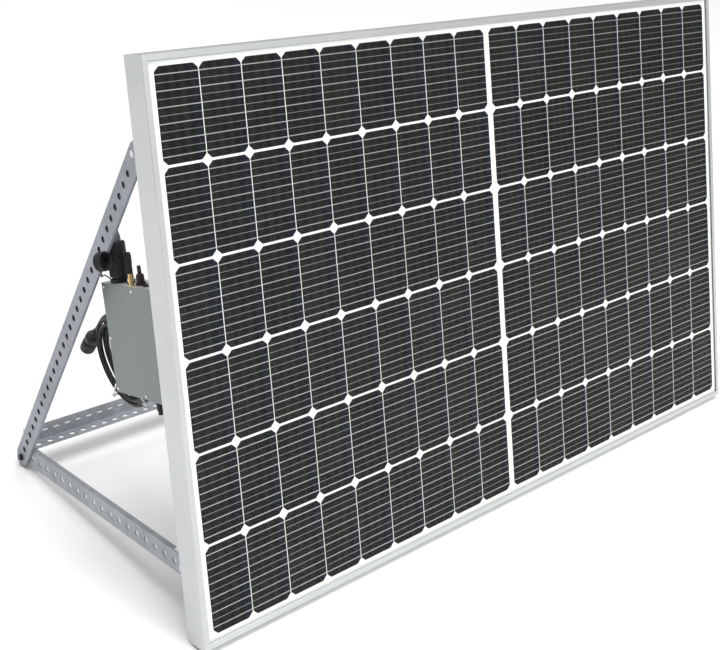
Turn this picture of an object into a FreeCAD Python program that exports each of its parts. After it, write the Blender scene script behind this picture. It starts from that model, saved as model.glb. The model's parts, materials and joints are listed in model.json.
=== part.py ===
"""Framed solar panel on a folding prop stand, with a micro-inverter box and its AC lead.

Every piece is drawn in the panel's own frame first: X along the long side, Y up the
panel, Z out of the glass, with the middle of the front plane at the origin.
place() then leans the panel back until the bottom edge and both feet of the stand
touch the ground, and puts the ground at Z = 0 and the middle of the depth at Y = 0.
Sizes are in millimetres.
"""
import FreeCAD, Part
import math
import os

V = FreeCAD.Vector

# ---- driving dimensions --------------------------------------------------------------
PANEL_W = 1722.0            # outer length of the frame
PANEL_H = 1134.0            # outer height of the frame
FRAME_D = 60.0              # depth of the frame
WALL = 1.6                  # frame wall
LIP_W = 12.5                # front lip over the glass
OUTER_CHAMFER = 1.3         # on the lip's outer edge
INNER_CHAMFER = 0.9         # and on its edge over the glass
CHAMBER_W = 11.0
LIP_T = 1.5
SLOT_BACK = 7.1             # depth of the back face of the laminate slot
CHAMBER_BACK = 24.0         # depth of the back of the hollow chamber
FLANGE_W = 35.0             # rear return flange
FLANGE_T = 1.8
FLANGE_HOLE_IN = 14.0       # of the clip and bracket screws, from the outer face
FLANGE_HOLE_R = 3.2
MITRE = 60.0                # how far in a mitre cut is taken
FIX_X = 400.0               # fixing holes in the long rails
FIX_IN = 20.0
FIX_R = 4.5

LAMINATE_GAP = 3.0          # from the outer face of the frame to the glass edge
GLASS_FRONT = 1.9
GLASS_T = 3.2
FILM_T = 0.5
RIBBON_T = 0.15
CELL_T = 0.2
BACKSHEET_T = 0.3
CELL_PITCH_X = 92.2
CELL_PITCH_Y = 182.0
CELL_W = 90.2
CELL_H = 177.0
CELL_CHAMFER = 9.5
MID_GAP = 14.0              # white gap between the two halves of the panel
COLUMNS = 9                 # in each half
ROWS = 6
RIBBONS = 11                # wires across each row of cells
RIBBON_WIDE = 1.6           # the first, third, fifth ... wire
RIBBON_THIN = 0.6           # the wires between them

PLATE = 3.0                 # thickness of the stand's steel
STRUT_X = 843.0             # outer face of a strut, from the middle
STRUT_W = 48.0
STRUT_D = 6.0               # a strut is a flat closed tube
STRUT_WALL = 1.5
LAYER_GAP = 0.5             # between two bars that slide past each other
CLIP_SCREW = 14.0           # from a hinge bolt up or down to the clip's screws
HINGE_BACK = 90.0           # depth of all four hinge bolts on the panel
UPPER_Y = 385.0             # height of the strut hinges on the panel
LOWER_Y = -432.0            # height of the base bar hinges on the panel
FOOT_Y = -380.0             # rear bolt, where a strut meets a base bar
FOOT_Z = -780.0
STRUT_PITCH = 31.5
STRUT_HOLES = 31
BASE_H = 44.0               # height of a base bar's web
BASE_LIP = 12.0
BASE_PITCH = 36.0
BASE_HOLES = 18
ROW_ABOVE_FOOT = 8.0        # the base bar's row of holes passes this far above the bolt
HOLE_R = 7.0                # of the open holes along struts and base bars
BOLT_R = 4.0                # M8
TURN_GAP = 0.06             # radial clearance of a turning hole
RAIL_LEG = 40.0
RAIL_PITCH = 28.0
RAIL_HOLES = 59
RAIL_HOLE_R = 6.5           # round-ended holes in the leg that lies flat
RAIL_HOLE_LONG = 15.0
RAIL_SLOT_LONG = 14.0       # narrow slots in the upright leg
RAIL_SLOT_HIGH = 3.0
RAIL_ROW = 30.0             # the holes' row, forward of the bars' ends
RAIL_BOLT_IN = 9.2          # of the rail's bolts, from the base bars' outer faces
RAIL_BOLT_HOLE = 3.2

BOX_X0, BOX_X1 = -818.5, -763.0
BOX_Y0, BOX_Y1 = -118.0, 110.0
BOX_Z0, BOX_Z1 = -320.0, -80.0
BOX_TILT = 3.5              # the box hangs a little out of line with the panel
SHEET = 1.2
COVER_T = 1.5
AC_X, AC_Z = -797.0, -281.0
GLAND_Y, GLAND_Z = -5.0, -224.0   # on the wall away from the cover
GLAND_R = 8.0
GLAND_L = 24.0
CORD_R = 4.5
HANK_X0, HANK_X1 = -758.0, -730.0
HANK_Y, HANK_Z = -98.0, -411.0
HANK_LONG, HANK_SHORT = 119.0, 93.0
HANK_TURN = 35.0            # lean of the hank's long axis from the panel's depth
HANK_BAND = 36.0
TIE_T, TIE_W = 1.4, 5.0
TIE_ANGLES = (26.0, -51.0, -85.0)   # from straight down, towards the rear
ANCHOR = (-107.0, -306.0)   # a stick-on base on the box that holds the foremost tie
ANCHOR_SIDE = 12.0
# corners of the lead's two free ends, which run straight between tangent bends
LEAD_IN = [(-711, -7, -223.9), (-689, -8, -241.3), (-681.6, -10, -272.4),
           (-692, -12.5, -311), (-713, -13.5, -356), (-731.5, -11.5, -400.5),
           (-736.2, -6.4, -430)]
TAIL = [(-746, -13, -481), (-744, -34.5, -508.9), (-744, -64.9, -540.7)]
PLUG_AT = (-744.0, -58.0, -533.5)
PLUG_AXIS = (0.0, -0.69, -0.724)
CAP_AT = (-865.0, 166.0, -236.0)
CAP_AXIS = (0.42, 0.2, 0.88)
STRAP_R = 1.4

BRACKET_BOLTS = (-78.0, 52.0)       # heights of its screws in the left rail
BACK_SCREW_Y = (-60.0, 54.0)        # screws from the bracket into the box
BACK_SCREW_Z = -110.0
# threaded stubs through the box wall: X, Z and radius
TOP_HOLES = {"ac": (AC_X, AC_Z, 12.0), "signal": (-795.0, -243.0, 5.0),
             "antenna": (-811.0, -214.0, 3.1), "bus": (-797.0, -200.0, 6.0),
             "vent": (-800.0, -174.0, 4.0)}
BOTTOM_HOLES = {"minus": (-800.0, -187.0, 6.0), "plus": (-800.0, -164.0, 6.0)}

# ---- the lean of the panel -----------------------------------------------------------
HALF_W, HALF_H = PANEL_W / 2, PANEL_H / 2
FOOT_R = STRUT_W / 2
_rise = FOOT_Y + HALF_H
_run = -(FOOT_Z + FRAME_D)
LEAN = math.acos(FOOT_R / math.hypot(_rise, _run)) - math.atan2(_run, _rise)
GROUND = HALF_H * math.cos(LEAN) + FRAME_D * math.sin(LEAN)   # height of the panel's middle
_front_edge = -HALF_H * math.sin(LEAN)
_rear_end = FOOT_Y * math.sin(LEAN) - FOOT_Z * math.cos(LEAN) + FOOT_R
MIDDLE = -(_front_edge + _rear_end) / 2      # puts Y = 0 halfway from front to rear

parts = {}


def place(point):
    """A point or shape of the panel's frame, stood up on the ground."""
    turn = FreeCAD.Rotation(V(1, 0, 0), 90.0 - math.degrees(LEAN))
    stand = FreeCAD.Placement(V(0, MIDDLE, GROUND), turn)
    if isinstance(point, FreeCAD.Vector):
        return stand.multVec(point)
    moved = point.copy()
    moved.transformShape(stand.toMatrix())
    return moved


def add(name, *solids):
    parts.setdefault(name, []).extend(solids)


# ---- small shape helpers -------------------------------------------------------------
def box(x0, y0, z0, x1, y1, z1):
    return Part.makeBox(x1 - x0, y1 - y0, z1 - z0, V(x0, y0, z0))


def rod(start, axis, length, radius):
    return Part.makeCylinder(radius, length, V(*start), V(*axis))


def prism(corners, depth):
    """A flat outline, given as 3-D corners, pushed along the vector depth."""
    ring = [V(*c) for c in corners]
    return Part.Face(Part.makePolygon(ring + ring[:1])).extrude(V(*depth))


def hexagon(start, axis_x, length, across_corners_r, bore=0.0):
    """A hexagonal prism along X, with a round hole if bore is given."""
    x, y, z = start
    ring = [(x, y + across_corners_r * math.cos(math.radians(60 * i)),
             z + across_corners_r * math.sin(math.radians(60 * i))) for i in range(6)]
    nut = prism(ring, (axis_x * length, 0, 0))
    if bore:
        nut = nut.cut(rod((x - axis_x, y, z), (axis_x, 0, 0), length + 2, bore))
    return nut


def turned(shape, degrees, centre):
    moved = shape.copy()
    moved.rotate(V(*centre), V(1, 0, 0), degrees)
    return moved


def mirrored(shape):
    return shape.mirror(V(0, 0, 0), V(1, 0, 0))


def revolved(profile, base, axis):
    """A turned piece: profile is a closed list of (radius, height) along axis from base."""
    ring = [V(r, 0, h) for r, h in profile]
    solid = Part.Face(Part.makePolygon(ring + ring[:1])).revolve(V(0, 0, 0), V(0, 0, 1), 360)
    solid.Placement = FreeCAD.Placement(V(*base), FreeCAD.Rotation(V(0, 0, 1), V(*axis)))
    return solid


def stadium(x, start, end, radius, thick):
    """A flat bar with round ends in a plane of constant X, from start to end (Y, Z)."""
    (ya, za), (yb, zb) = start, end
    length = math.hypot(yb - ya, zb - za)
    uy, uz = (yb - ya) / length, (zb - za) / length
    ny, nz = -uz * radius, uy * radius
    a1, a2 = V(x, ya + ny, za + nz), V(x, ya - ny, za - nz)
    b1, b2 = V(x, yb + ny, zb + nz), V(x, yb - ny, zb - nz)
    nose_a = V(x, ya - uy * radius, za - uz * radius)
    nose_b = V(x, yb + uy * radius, zb + uz * radius)
    wire = Part.Wire([Part.LineSegment(a1, b1).toShape(), Part.Arc(b1, nose_b, b2).toShape(),
                      Part.LineSegment(b2, a2).toShape(), Part.Arc(a2, nose_a, a1).toShape()])
    return Part.Face(wire).extrude(V(thick, 0, 0))


def tube(points, radius):
    """A round cord along straight runs joined by tangent arcs, each as wide as it can be."""
    route = [V(*p) for p in points]
    edges, last = [], route[0]
    for before, corner, after in zip(route, route[1:], route[2:]):
        back, ahead = (before - corner).normalize(), (after - corner).normalize()
        turn = math.pi - back.getAngle(ahead)
        reach = 0.45 * min((before - corner).Length, (after - corner).Length)
        bend = reach / math.tan(turn / 2)
        print("bend radius", round(bend, 1))
        enter, leave = corner + back * reach, corner + ahead * reach
        middle = (back + ahead).normalize()
        apex = corner + middle * (bend / math.cos(turn / 2) - bend)
        edges.append(Part.LineSegment(last, enter).toShape())
        edges.append(Part.Arc(enter, apex, leave).toShape())
        last = leave
    edges.append(Part.LineSegment(last, route[-1]).toShape())
    path = Part.Wire(edges)
    ring = Part.Wire(Part.makeCircle(radius, route[0], route[1] - route[0]))
    solid = path.makePipeShell([ring], True, False)
    print("cord run", round(path.Length), "volume ratio",
          round(solid.Volume / (math.pi * radius ** 2 * path.Length), 4))
    return solid


# ---- module: frame, laminate and junction boxes ---------------------------------------
def rail_profile():
    """Frame section as (distance in from the outer face, depth) pairs, and its chamber."""
    outline = [(0, -OUTER_CHAMFER), (OUTER_CHAMFER, 0), (LIP_W - INNER_CHAMFER, 0),
               (LIP_W, -INNER_CHAMFER), (LIP_W, -LIP_T), (WALL, -LIP_T), (WALL, -SLOT_BACK),
               (CHAMBER_W, -SLOT_BACK), (CHAMBER_W, -CHAMBER_BACK), (WALL, -CHAMBER_BACK),
               (WALL, -FRAME_D + FLANGE_T), (FLANGE_W, -FRAME_D + FLANGE_T),
               (FLANGE_W, -FRAME_D), (0, -FRAME_D)]
    chamber = [(WALL, -SLOT_BACK - WALL), (CHAMBER_W - WALL, -SLOT_BACK - WALL),
               (CHAMBER_W - WALL, -CHAMBER_BACK + WALL), (WALL, -CHAMBER_BACK + WALL)]
    return outline, chamber


def side_rail():
    """The left rail: its outer face at -X, with mitred ends."""
    outline, chamber = rail_profile()
    at = lambda ring: [(-HALF_W + u, -HALF_H, z) for u, z in ring]
    rail = prism(at(outline), (0, PANEL_H, 0)).cut(prism(at(chamber), (0, PANEL_H, 0)))
    keep = prism([(-HALF_W, -HALF_H, -FRAME_D), (-HALF_W, HALF_H, -FRAME_D),
                  (-HALF_W + MITRE, HALF_H - MITRE, -FRAME_D),
                  (-HALF_W + MITRE, -HALF_H + MITRE, -FRAME_D)],
                 (0, 0, FRAME_D))
    heights = [y + dy for y in (UPPER_Y, LOWER_Y) for dy in (-CLIP_SCREW, CLIP_SCREW)]
    holes = [rod((-HALF_W + FLANGE_HOLE_IN, y, -FRAME_D - 1), (0, 0, 1), 4, FLANGE_HOLE_R)
             for y in (*heights, *BRACKET_BOLTS)]
    return rail.common(keep).cut(Part.makeCompound(holes))


def long_rail():
    """The bottom rail, with two round fixing holes in its rear flange."""
    outline, chamber = rail_profile()
    at = lambda ring: [(-HALF_W, -HALF_H + u, z) for u, z in ring]
    rail = prism(at(outline), (PANEL_W, 0, 0)).cut(prism(at(chamber), (PANEL_W, 0, 0)))
    keep = prism([(-HALF_W, -HALF_H, -FRAME_D), (HALF_W, -HALF_H, -FRAME_D),
                  (HALF_W - MITRE, -HALF_H + MITRE, -FRAME_D),
                  (-HALF_W + MITRE, -HALF_H + MITRE, -FRAME_D)],
                 (0, 0, FRAME_D))
    holes = [rod((x, -HALF_H + FIX_IN, -FRAME_D - 1), (0, 0, 1), 4, FIX_R)
             for x in (-FIX_X, FIX_X)]
    return rail.common(keep).cut(Part.makeCompound(holes))


def make_frame():
    left = side_rail()
    bottom = long_rail()
    add("frame_left_rail", left)
    # the right rail carries no inverter bracket, but the rails are one stock part
    add("frame_right_rail", mirrored(left))
    add("frame_bottom_rail", bottom)
    add("frame_top_rail", bottom.mirror(V(0, 0, 0), V(0, 1, 0)))
    inner = WALL + 0.3
    reach = 45.0
    top_z, low_z = -SLOT_BACK - WALL - 0.3, -CHAMBER_BACK + WALL + 0.3
    wide = CHAMBER_W - 2 * WALL - 0.6
    key = box(-HALF_W + inner, HALF_H - inner - wide, low_z, -HALF_W + inner + reach,
              HALF_H - inner, top_z)
    key = key.fuse(box(-HALF_W + inner, HALF_H - inner - reach, low_z,
                       -HALF_W + inner + wide, HALF_H - inner, top_z)).removeSplitter()
    low = key.mirror(V(0, 0, 0), V(0, 1, 0))
    add("corner_keys", key, low, mirrored(key), mirrored(low))


def layer(name, front, thick, margin=LAMINATE_GAP):
    x, y = HALF_W - margin, HALF_H - margin
    add(name, box(-x, -y, -front - thick, x, y, -front))
    return front + thick


def make_laminate():
    back = layer("front_glass", GLASS_FRONT, GLASS_T)
    back = layer("front_encapsulant", back, FILM_T)
    ribbon_front = back
    back += RIBBON_T
    cell_front = back
    back += CELL_T
    back = layer("rear_encapsulant", back, FILM_T)
    back = layer("backsheet", back, BACKSHEET_T)
    seal = box(-HALF_W + WALL + 0.1, -HALF_H + WALL + 0.1, -SLOT_BACK + 0.05,
               HALF_W - WALL - 0.1, HALF_H - WALL - 0.1, -LIP_T - 0.05)
    x, y = HALF_W - LAMINATE_GAP, HALF_H - LAMINATE_GAP
    seal = seal.cut(box(-x, -y, -back, x, y, -GLASS_FRONT))
    x, y = HALF_W - LIP_W + 0.5, HALF_H - LIP_W + 0.5
    add("edge_seal", seal.cut(box(-x, -y, -20, x, y, 0)))

    w, h, c = CELL_W / 2, CELL_H / 2, CELL_CHAMFER
    cell = prism([(-w + c, -h, -cell_front), (w - c, -h, -cell_front), (w, -h + c, -cell_front),
                  (w, h - c, -cell_front), (w - c, h, -cell_front), (-w + c, h, -cell_front),
                  (-w, h - c, -cell_front), (-w, -h + c, -cell_front)], (0, 0, -CELL_T))
    length = COLUMNS * CELL_PITCH_X - 4
    for side in (-1, 1):
        for row in range(ROWS):
            y = (row - (ROWS - 1) / 2) * CELL_PITCH_Y
            for column in range(COLUMNS):
                x = side * (MID_GAP / 2 + (column + 0.5) * CELL_PITCH_X)
                one = cell.copy()
                one.translate(V(x, y, 0))
                add("solar_cells", one)
            middle = side * (MID_GAP / 2 + COLUMNS * CELL_PITCH_X / 2)
            for i in range(RIBBONS):
                ry = y + (i - (RIBBONS - 1) / 2) * CELL_H / (RIBBONS + 1)
                half = (RIBBON_THIN if i % 2 else RIBBON_WIDE) / 2
                add("cell_ribbons", box(middle - length / 2, ry - half,
                                        -ribbon_front - RIBBON_T, middle + length / 2,
                                        ry + half, -ribbon_front))
    return back


def make_junction_boxes(back):
    """Three small boxes down the middle of the back, each with a bypass diode."""
    w, h, d = 34.0, 26.0, 17.0
    for y in (-HALF_H * 2 / 3, 0.0, HALF_H * 2 / 3):
        shell = box(-w, y - h, -back - d, w, y + h, -back)
        shell = shell.cut(box(-w + 2, y - h + 2, -back - d - 1, w - 2, y + h - 2, -back - 2))
        glands = [(-w - 9, y - 12), (w, y - 12)] if y else []
        for x, gy in glands:
            shell = shell.fuse(rod((x, gy, -back - 8), (1, 0, 0), 9.0, 5.0))
        add("junction_box_bodies", shell.removeSplitter())
        lid = box(-w, y - h, -back - d - 2.4, w, y + h, -back - d)
        lid = lid.fuse(box(-w + 2.3, y - h + 2.3, -back - d, w - 2.3, y + h - 2.3, -back - d + 3))
        lid = lid.cut(box(-w + 4, y - h + 4, -back - d, w - 4, y + h - 4, -back - d + 4))
        rim = [e for e in lid.Edges if abs(e.BoundBox.ZMax + back + d + 2.4) < 0.01]
        add("junction_box_lids", lid.makeFillet(1.5, rim))
        add("bypass_diodes", box(-9, y - 6, -back - 7, 9, y + 6, -back - 2.5))


# ---- stand: clips, bolts, struts, base bars and rail -----------------------------------
FOOT = (FOOT_Y, FOOT_Z)
UPPER = (UPPER_Y, -HINGE_BACK)
LOWER = (LOWER_Y, -HINGE_BACK)
WEB_X = STRUT_X - STRUT_D - LAYER_GAP   # outer face of a base bar's web


def make_clip(name, hinge, leg_outer):
    """An angle clip on the rear flange: a foot for two screws and a leg for the hinge."""
    y, z = hinge
    leg = stadium(-leg_outer, (y, z), (y, -FRAME_D - FOOT_R - 1), 22.0, PLATE)
    leg = leg.common(box(-HALF_W, y - 30, -200, 0, y + 30, -FRAME_D))
    leg = leg.fuse(box(-leg_outer, y - 22, -FRAME_D - 26, -leg_outer + PLATE, y + 22, -FRAME_D))
    foot = box(-HALF_W + 3, y - 22, -FRAME_D - PLATE, -leg_outer + PLATE, y + 22, -FRAME_D)
    clip = leg.fuse(foot).removeSplitter()
    clip = clip.cut(rod((-leg_outer - 1, y, z), (1, 0, 0), 6, BOLT_R + TURN_GAP))
    for dy in (-CLIP_SCREW, CLIP_SCREW):
        at = (-HALF_W + FLANGE_HOLE_IN, y + dy)
        clip = clip.cut(rod((*at, -FRAME_D - 5), (0, 0, 1), 6, FLANGE_HOLE_R))
        add("clip_screws", *flange_screw(*at))
    add("left_" + name, clip)
    add("right_" + name, mirrored(clip))


def flange_screw(x, y):
    """M6 screw and nut through the rear flange and a plate on it."""
    z = -FRAME_D - PLATE
    screw = rod((x, y, z - 4), (0, 0, 1), 4, 5.0).fuse(rod((x, y, z), (0, 0, 1), 12, 3.0))
    nut = rod((x, y, -FRAME_D + FLANGE_T), (0, 0, 1), 5, 5.4)
    nut = nut.cut(rod((x, y, -FRAME_D), (0, 0, 1), 12, 3.02))
    return screw.removeSplitter(), nut


def hinge_bolt(at, outer, inner):
    """M8 bolt along X with a washer outside and a nut inside. outer and inner are
    the distances from the middle of the faces that it clamps."""
    y, z = at
    head = hexagon((-outer - 1.7, y, z), -1, 5.3, 7.4)
    shank = rod((-outer - 1.7, y, z), (1, 0, 0), outer + 1.7 - inner + 8.5, BOLT_R)
    washer = rod((-outer - 1.7, y, z), (1, 0, 0), 1.6, 8.5)
    washer = washer.cut(rod((-outer - 3, y, z), (1, 0, 0), 5, BOLT_R + 0.02))
    nut = hexagon((-inner + 0.1, y, z), 1, 6.5, 7.4, BOLT_R + 0.02)
    return head.fuse(shank).removeSplitter(), washer, nut


def make_struts():
    length = math.hypot(UPPER_Y - FOOT_Y, -HINGE_BACK - FOOT_Z)
    uy, uz = (UPPER_Y - FOOT_Y) / length, (-HINGE_BACK - FOOT_Z) / length
    up_strut = lambda s: (FOOT_Y + uy * s, FOOT_Z + uz * s)
    bar = stadium(-STRUT_X, UPPER, FOOT, FOOT_R, STRUT_D)
    # the tube is hollow between its two solid ends, which the bolts pass through
    cavity = stadium(-STRUT_X + STRUT_WALL, up_strut(STRUT_PITCH),
                     up_strut(STRUT_HOLES * STRUT_PITCH), FOOT_R - STRUT_WALL,
                     STRUT_D - 2 * STRUT_WALL)
    holes = [rod((-STRUT_X - 1, *up_strut(k * STRUT_PITCH)), (1, 0, 0), STRUT_WALL + 2, HOLE_R)
             for k in range(1, STRUT_HOLES + 1)]
    holes += [rod((-STRUT_X - 1, *end), (1, 0, 0), STRUT_D + 2, BOLT_R + TURN_GAP)
              for end in (UPPER, FOOT)]
    bar = bar.cut(cavity).cut(Part.makeCompound(holes))
    rim = [e for e in bar.Edges if e.Length > 60 and abs(e.BoundBox.XMax + STRUT_X) < 0.01]
    bar = bar.makeFillet(0.8, rim)
    bolt = hinge_bolt(FOOT, STRUT_X, WEB_X - PLATE - 0.3)
    add("left_strut", bar)
    add("right_strut", mirrored(bar))
    add("left_foot_bolt", *bolt)
    add("right_foot_bolt", *[mirrored(s) for s in bolt])
    upper = hinge_bolt(UPPER, STRUT_X, WEB_X - PLATE)
    lower = hinge_bolt(LOWER, WEB_X, WEB_X - 2 * PLATE - LAYER_GAP)
    add("left_hinge_bolts", *upper, *lower)
    add("right_hinge_bolts", *[mirrored(s) for s in upper + lower])


def bar_frame():
    """The base bar's own directions: along it towards the rear, and up across it."""
    run_y, run_z = FOOT_Y + ROW_ABOVE_FOOT - LOWER_Y, FOOT_Z + HINGE_BACK
    length = math.hypot(run_y, run_z)
    return length, (run_y / length, run_z / length), (-run_z / length, run_y / length)


def in_bar(x, s, w):
    _, along, up = bar_frame()
    return (x, LOWER_Y + along[0] * s + up[0] * w, -HINGE_BACK + along[1] * s + up[1] * w)


def bar_block(x0, x1, s0, s1, w0, w1):
    ring = [in_bar(x0, s, w) for s, w in ((s0, w0), (s1, w0), (s1, w1), (s0, w1))]
    return prism(ring, (x1 - x0, 0, 0))


def make_base_bars():
    """Lipped bars from the lower hinges to the feet. Each ends in a hook that is open
    forward and down, so it lifts off the foot bolt and the strut can swing away."""
    length, along, up = bar_frame()
    half = BASE_H / 2
    web_in = -WEB_X + PLATE
    nose = stadium(-WEB_X, LOWER, (LOWER_Y + along[0] * 60, -HINGE_BACK + along[1] * 60),
                   half, PLATE)
    web = nose.fuse(bar_block(-WEB_X, web_in, 0, length + 18, -half, half))
    lip = bar_block(web_in, -WEB_X + BASE_LIP, 46, length + 18, half - PLATE, half)
    bar = web.fuse(lip).removeSplitter()
    holes = [rod(in_bar(-WEB_X - 1, length - 45 - k * BASE_PITCH, 0), (1, 0, 0), PLATE + 2,
                 HOLE_R) for k in range(BASE_HOLES)]
    holes.append(rod((-WEB_X - 1, *LOWER), (1, 0, 0), PLATE + 2, BOLT_R + TURN_GAP))
    bar = bar.cut(Part.makeCompound(holes))
    slot = BOLT_R + 0.8
    sy, sz = (UPPER_Y - FOOT_Y), (-HINGE_BACK - FOOT_Z)
    reach = math.hypot(sy, sz)
    down = (-sz / reach, sy / reach)            # the way the foot bolt leaves, (Y, Z)
    left_of = (down[1], -down[0])
    c = FOOT
    top = (c[0] + left_of[0] * slot, c[1] + left_of[1] * slot)
    far = (top[0] + down[0] * 60, top[1] + down[1] * 60)
    rear = (c[0] + along[0] * slot, c[1] + along[1] * slot)
    low = (rear[0] - up[0] * 60, rear[1] - up[1] * 60)
    hook = prism([(-WEB_X - 1, *p) for p in (top, far, low, rear)], (PLATE + 2, 0, 0))
    hook = hook.fuse(rod((-WEB_X - 1, *c), (1, 0, 0), PLATE + 2, slot))
    bar = bar.cut(hook)
    at = in_bar(-WEB_X + RAIL_BOLT_IN, length - RAIL_ROW, half - 10)
    hole = rod(at, (0, *up), 20, RAIL_BOLT_HOLE)
    bar = bar.cut(hole)
    add("left_base_bar", bar)
    add("right_base_bar", mirrored(bar))


def make_rear_rail():
    """Slotted angle across the two base bars, one leg lying on their lips."""
    length, along, up = bar_frame()
    half = BASE_H / 2
    end = WEB_X - 0.2
    s0, s1 = length - 48, length - 48 + RAIL_LEG
    rail = bar_block(-end, end, s0, s1, half, half + PLATE)
    rail = rail.fuse(bar_block(-end, end, s1 - PLATE, s1, half, half + RAIL_LEG))
    rail = rail.removeSplitter()
    cuts = []
    for i in range(RAIL_HOLES):
        x = (i - (RAIL_HOLES - 1) / 2) * RAIL_PITCH
        ends = RAIL_HOLE_LONG / 2 - RAIL_HOLE_R
        for dx in (-ends, ends):
            cuts.append(rod(in_bar(x + dx, length - RAIL_ROW, half - 1), (0, *up), PLATE + 2,
                            RAIL_HOLE_R))
        cuts.append(bar_block(x - ends, x + ends, length - RAIL_ROW - RAIL_HOLE_R,
                              length - RAIL_ROW + RAIL_HOLE_R, half - 1, half + PLATE + 1))
        slot_x, slot_w = RAIL_SLOT_LONG / 2, half + RAIL_LEG * 0.55
        cuts.append(bar_block(x - slot_x, x + slot_x, s1 - PLATE - 1, s1 + 1, slot_w,
                              slot_w + RAIL_SLOT_HIGH))
    for side in (-1, 1):
        x = side * (WEB_X - RAIL_BOLT_IN)
        cuts.append(rod(in_bar(x, length - RAIL_ROW, half - 1), (0, *up), PLATE + 2,
                        RAIL_BOLT_HOLE))
        head = rod(in_bar(x, length - RAIL_ROW, half + PLATE), (0, *up), 4, 5.2)
        head = head.fuse(rod(in_bar(x, length - RAIL_ROW, half - 9), (0, *up), 12, 3.0))
        nut = rod(in_bar(x, length - RAIL_ROW, half - PLATE - 5), (0, *up), 5, 5.4)
        nut = nut.cut(rod(in_bar(x, length - RAIL_ROW, half - 12), (0, *up), 12, 3.02))
        add("rail_bolts", head.removeSplitter(), nut)
    add("rear_rail", rail.cut(Part.makeCompound(cuts)))


# ---- inverter box and what is on it ------------------------------------------------------
BOX_MID = (0.0, (BOX_Y0 + BOX_Y1) / 2, (BOX_Z0 + BOX_Z1) / 2)


def add_tilted(name, *solids):
    add(name, *[turned(s, -BOX_TILT, BOX_MID) for s in solids])


def tilted_point(x, y, z):
    spin = FreeCAD.Rotation(V(1, 0, 0), -BOX_TILT)
    mid = V(*BOX_MID)
    return spin.multVec(V(x, y, z) - mid) + mid


def cover_screw_points():
    inset = 8.0
    ys = (BOX_Y0 + inset, BOX_MID[1], BOX_Y1 - inset)
    zs = (BOX_Z0 + inset, BOX_MID[2], BOX_Z1 - inset)
    return [(y, z) for y in ys for z in zs if (y, z) != (BOX_MID[1], BOX_MID[2])]


def make_box():
    outer = box(BOX_X0, BOX_Y0, BOX_Z0, BOX_X1, BOX_Y1, BOX_Z1)
    shell = outer.cut(box(BOX_X0 + SHEET, BOX_Y0 + SHEET, BOX_Z0 + SHEET,
                          BOX_X1 - SHEET, BOX_Y1 - SHEET, BOX_Z1 - SHEET))
    shell = shell.cut(box(BOX_X0 - 1, BOX_Y0 + 14, BOX_Z0 + 14, BOX_X0 + 2, BOX_Y1 - 14,
                          BOX_Z1 - 14))
    cover = box(BOX_X0 - COVER_T, BOX_Y0, BOX_Z0, BOX_X0, BOX_Y1, BOX_Z1)
    screws = []
    for y, z in cover_screw_points():
        hole = rod((BOX_X0 - 5, y, z), (1, 0, 0), 8, 1.7)
        shell, cover = shell.cut(hole), cover.cut(hole)
        screws.append(revolved([(0, 0), (3.2, 0), (3.2, 0.9), (2.0, 1.9), (0, 1.9)],
                               (BOX_X0 - COVER_T, y, z), (-1, 0, 0))
                      .fuse(rod((BOX_X0 - COVER_T, y, z), (1, 0, 0), 8, 1.5)).removeSplitter())
    for x, z, r in TOP_HOLES.values():
        shell = shell.cut(rod((x, BOX_Y1 - 3, z), (0, 1, 0), 6, r + 0.2))
    for x, z, r in BOTTOM_HOLES.values():
        shell = shell.cut(rod((x, BOX_Y0 - 3, z), (0, 1, 0), 6, r + 0.2))
    shell = shell.cut(rod((BOX_X1 - 3, GLAND_Y, GLAND_Z), (1, 0, 0), 6, GLAND_R + 0.2))
    for y in BACK_SCREW_Y:
        shell = shell.cut(rod((BOX_X1 - 3, y, BACK_SCREW_Z), (1, 0, 0), 6, 2.6))
    add_tilted("inverter_housing", shell)
    add_tilted("inverter_cover", cover)
    add_tilted("cover_screws", *screws)


def make_bracket():
    """Angle bracket from the left rail's rear flange to the back wall of the box."""
    y0, y1 = -95.0, 69.0
    foot = box(-HALF_W + 3, y0, -FRAME_D - PLATE, BOX_X1 + PLATE, y1, -FRAME_D)
    leg = box(BOX_X1, y0, -150.0, BOX_X1 + PLATE, y1, -FRAME_D)
    bracket = foot.fuse(leg).removeSplitter()
    for y in BRACKET_BOLTS:
        at = (-HALF_W + FLANGE_HOLE_IN, y)
        bracket = bracket.cut(rod((*at, -FRAME_D - 5), (0, 0, 1), 6, FLANGE_HOLE_R))
        add("bracket_screws", *flange_screw(*at))
    for y in BACK_SCREW_Y:
        at = tilted_point(BOX_X1, y, BACK_SCREW_Z)
        bracket = bracket.cut(rod((BOX_X1 - 1, at.y, at.z), (1, 0, 0), 6, 2.6))
        head = rod((BOX_X1 + PLATE, at.y, at.z), (1, 0, 0), 3.5, 4.5)
        head = head.fuse(rod((BOX_X1 - 5, at.y, at.z), (1, 0, 0), 5 + PLATE, 2.5))
        nut = rod((BOX_X1 - SHEET - 4, at.y, at.z), (1, 0, 0), 4, 4.6)
        nut = nut.cut(rod((BOX_X1 - 8, at.y, at.z), (1, 0, 0), 8, 2.52))
        add("bracket_screws", head.removeSplitter(), nut)
    add("inverter_bracket", bracket)


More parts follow.
